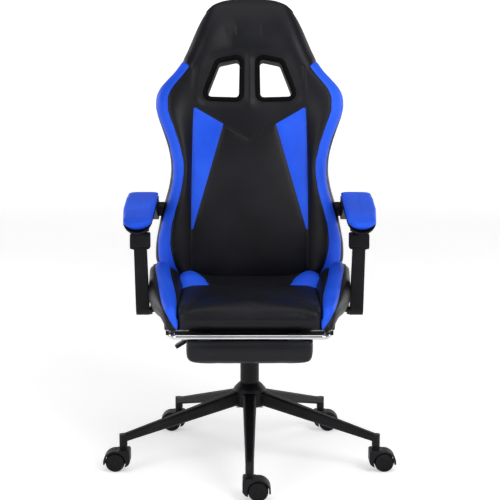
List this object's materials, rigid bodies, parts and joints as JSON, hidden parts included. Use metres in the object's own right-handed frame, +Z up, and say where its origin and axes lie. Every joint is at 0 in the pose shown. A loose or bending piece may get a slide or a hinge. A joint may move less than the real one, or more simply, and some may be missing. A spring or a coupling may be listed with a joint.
{
  "type": "gaming chair",
  "caption": "Racing-style office chair with winged reclining back, linked armrests, pull-out footrest, gas lift and a star base on castors.",
  "frame": {"origin": "on the floor, under the axis of the gas column", "axes": "+Z up, the chair faces -Y, the sitter's left is +X"},
  "size_m": [0.7622, 0.722, 1.2189],
  "materials": {
    "steel_black": "satin black powder coat",
    "zinc_steel": "bright zinc plated steel",
    "chrome": "polished chrome tube",
    "nylon_black": "fine textured black moulded plastic",
    "castor_nylon": "semi gloss black nylon wheel",
    "pu_black": "black polyurethane coated fabric over foam, fine leather grain",
    "pu_blue": "blue polyurethane coated fabric over foam, fine leather grain",
    "webbing": "woven elastic webbing"
  },
  "bodies": {
    "base": {"base_hub": "steel_black", "base_arms": "steel_black", "base_bolts": "zinc_steel", "castor_stems": "steel_black", "gas_column": "steel_black", "column_bush": "nylon_black", "thrust_bearing": "zinc_steel"},
    "piston": {"piston_rod": "zinc_steel"},
    "lift": {"gas_cylinder": "zinc_steel", "mech_housing": "steel_black", "tilt_pin": "zinc_steel", "tilt_spring": "zinc_steel"},
    "release_pin": {"release_pin": "zinc_steel"},
    "height_lever": {"height_lever": "steel_black"},
    "tension_knob": {"tension_knob": "nylon_black"},
    "seat": {"mech_top_plate": "steel_black", "mech_bolts": "zinc_steel", "seat_frame": "steel_black", "seat_webbing": "webbing", "seat_cushion": "pu_black", "seat_bolsters": "pu_black", "recliner_plates": "steel_black", "recliner_pins": "zinc_steel", "recliner_covers": "nylon_black", "footrest_guides": "zinc_steel", "arm_brackets": "steel_black", "post_bolts": "steel_black"},
    "recline_lever": {"recline_lever": "nylon_black"},
    "back": {"back_frame": "steel_black", "back_webbing": "webbing", "back_cushion": "pu_black", "strap_bezels": "nylon_black", "recliner_arms": "steel_black", "arm_bolts": "steel_black"},
    "arm_left": {"arm_shell_left": "nylon_black", "arm_pad_left": "pu_blue", "arm_pin_left": "steel_black"},
    "arm_right": {"arm_shell_right": "nylon_black", "arm_pad_right": "pu_blue", "arm_pin_right": "steel_black"},
    "post_left": {"arm_post_left": "nylon_black"},
    "post_right": {"arm_post_right": "nylon_black"},
    "footrest": {"footrest_frame": "chrome"},
    "footrest_flap": {"footrest_plate": "steel_black", "footrest_pad": "pu_black"},
    "castor_1": {"castor_hood_1": "nylon_black"},
    "castor_2": {"castor_hood_2": "nylon_black"},
    "castor_3": {"castor_hood_3": "nylon_black"},
    "castor_4": {"castor_hood_4": "nylon_black"},
    "castor_5": {"castor_hood_5": "nylon_black"},
    "wheels_1": {"castor_wheels_1": "castor_nylon", "castor_axle_1": "steel_black"},
    "wheels_2": {"castor_wheels_2": "castor_nylon", "castor_axle_2": "steel_black"},
    "wheels_3": {"castor_wheels_3": "castor_nylon", "castor_axle_3": "steel_black"},
    "wheels_4": {"castor_wheels_4": "castor_nylon", "castor_axle_4": "steel_black"},
    "wheels_5": {"castor_wheels_5": "castor_nylon", "castor_axle_5": "steel_black"}
  },
  "joints": [
    {"name": "recline", "type": "hinge", "parent": "seat", "child": "back", "pos_m": [0, 0.195, 0.43], "axis": [-1, 0, 0], "range_deg": [0, 45]},
    {"name": "footrest_slide", "type": "slide", "parent": "seat", "child": "footrest", "axis": [0, -1, 0], "range_m": [0, 0.25]},
    {"name": "footrest_flip", "type": "hinge", "parent": "footrest", "child": "footrest_flap", "pos_m": [0, -0.29, 0.393], "axis": [-1, 0, 0], "range_deg": [0, 180]},
    {"name": "tilt", "type": "hinge", "parent": "lift", "child": "seat", "pos_m": [0, -0.045, 0.352], "axis": [-1, 0, 0], "range_deg": [0, 12], "stiffness_Nm_per_rad": 150, "springref_deg": -22.92},
    {"name": "lift", "type": "slide", "parent": "piston", "child": "lift", "axis": [0, 0, 1], "range_m": [0, 0.08]},
    {"name": "swivel", "type": "hinge", "parent": "base", "child": "piston", "pos_m": [0, 0, 0.16], "axis": [0, 0, 1], "continuous": true},
    {"name": "height_lever", "type": "hinge", "parent": "lift", "child": "height_lever", "pos_m": [-0.045, 0, 0.368], "axis": [0, 1, 0], "range_deg": [0, 7], "stiffness_Nm_per_rad": 2, "springref_deg": -5.73},
    {"name": "recline_lever", "type": "hinge", "parent": "seat", "child": "recline_lever", "pos_m": [-0.246, 0.195, 0.43], "axis": [-1, 0, 0], "range_deg": [0, 18], "stiffness_Nm_per_rad": 1, "springref_deg": -17.19},
    {"name": "tension_knob", "type": "hinge", "parent": "lift", "child": "tension_knob", "pos_m": [0, -0.082, 0.31], "axis": [0, 0, 1], "range_deg": [0, 1440]},
    {"name": "release_pin", "type": "slide", "parent": "lift", "child": "release_pin", "axis": [0, 0, -1], "range_m": [0, 0.0056]},
    {"name": "arm_left", "type": "hinge", "parent": "back", "child": "arm_left", "pos_m": [0.264, 0.222, 0.648], "axis": [-1, 0, 0], "range_deg": [-45, 0]},
    {"name": "arm_right", "type": "hinge", "parent": "back", "child": "arm_right", "pos_m": [-0.264, 0.222, 0.648], "axis": [-1, 0, 0], "range_deg": [-45, 0]},
    {"name": "post_left", "type": "hinge", "parent": "seat", "child": "post_left", "pos_m": [0.28, -0.03, 0.415], "axis": [-1, 0, 0], "range_deg": [0, 45]},
    {"name": "post_right", "type": "hinge", "parent": "seat", "child": "post_right", "pos_m": [-0.28, -0.03, 0.415], "axis": [-1, 0, 0], "range_deg": [0, 45]},
    {"name": "castor_1_swivel", "type": "hinge", "parent": "base", "child": "castor_1", "pos_m": [0, -0.346, 0.06], "axis": [0, 0, 1], "continuous": true},
    {"name": "castor_2_swivel", "type": "hinge", "parent": "base", "child": "castor_2", "pos_m": [0.32907, -0.10692, 0.06], "axis": [0, 0, 1], "continuous": true},
    {"name": "castor_3_swivel", "type": "hinge", "parent": "base", "child": "castor_3", "pos_m": [0.20337, 0.27992, 0.06], "axis": [0, 0, 1], "continuous": true},
    {"name": "castor_4_swivel", "type": "hinge", "parent": "base", "child": "castor_4", "pos_m": [-0.20337, 0.27992, 0.06], "axis": [0, 0, 1], "continuous": true},
    {"name": "castor_5_swivel", "type": "hinge", "parent": "base", "child": "castor_5", "pos_m": [-0.32907, -0.10692, 0.06], "axis": [0, 0, 1], "continuous": true},
    {"name": "castor_1_roll", "type": "hinge", "parent": "castor_1", "child": "wheels_1", "pos_m": [0.021, -0.346, 0.025], "axis": [0, 1, 0], "continuous": true},
    {"name": "castor_2_roll", "type": "hinge", "parent": "castor_2", "child": "wheels_2", "pos_m": [0.35007, -0.10692, 0.025], "axis": [0, 1, 0], "continuous": true},
    {"name": "castor_3_roll", "type": "hinge", "parent": "castor_3", "child": "wheels_3", "pos_m": [0.22437, 0.27992, 0.025], "axis": [0, 1, 0], "continuous": true},
    {"name": "castor_4_roll", "type": "hinge", "parent": "castor_4", "child": "wheels_4", "pos_m": [-0.22437, 0.27992, 0.025], "axis": [0, 1, 0], "continuous": true},
    {"name": "castor_5_roll", "type": "hinge", "parent": "castor_5", "child": "wheels_5", "pos_m": [-0.35007, -0.10692, 0.025], "axis": [0, 1, 0], "continuous": true}
  ],
  "couplings": [
    {"joint": "arm_left", "follows": "recline", "ratio": -1},
    {"joint": "arm_right", "follows": "recline", "ratio": -1},
    {"joint": "post_left", "follows": "recline", "ratio": 1},
    {"joint": "post_right", "follows": "recline", "ratio": 1},
    {"joint": "release_pin", "follows": "height_lever", "m_per_rad": 0.045}
  ]
}
